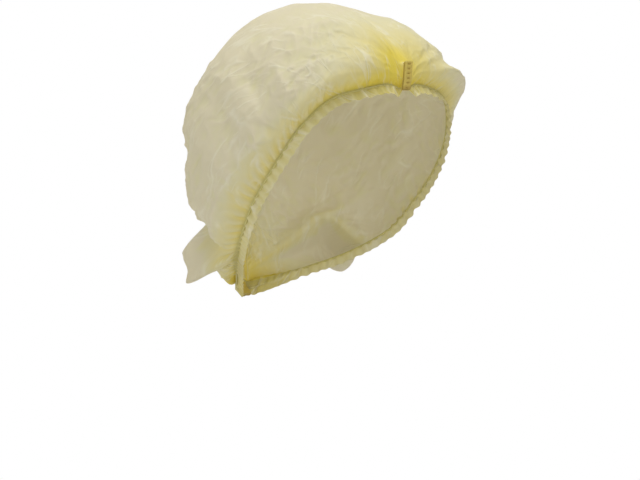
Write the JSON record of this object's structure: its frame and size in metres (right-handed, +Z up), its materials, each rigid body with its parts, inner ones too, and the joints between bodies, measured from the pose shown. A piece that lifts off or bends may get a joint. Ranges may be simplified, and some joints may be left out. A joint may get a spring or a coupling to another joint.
{
  "type": "disposable clip cap",
  "caption": "Pleated, elastic-edged disposable hair cap of thin yellow nonwoven with a weld tab at front and back and a ruffled hem, in its worn shape.",
  "frame": {"origin": "the inside of the crown's top, where the top of the wearer's head bears", "axes": "+X towards the wearer's left, -Y towards the forehead and +Y towards the nape, +Z up through the top of the head"},
  "size_m": [0.1789, 0.1977, 0.2102],
  "materials": {
    "nonwoven": "thin crumpled pale yellow nonwoven, matt, lets light through",
    "hem": "gathered nonwoven hem, matt, deeper yellow where it is doubled",
    "elastic": "covered elastic, dull olive yellow",
    "weld": "nonwoven pressed and welded to a stiff satin bar"
  },
  "bodies": {
    "root": {"crown": "nonwoven", "frill_right": "hem", "frill_left": "hem", "elastic_right": "elastic", "elastic_left": "elastic", "front_weld_tab": "weld", "rear_weld_tab": "weld"}
  },
  "joints": []
}
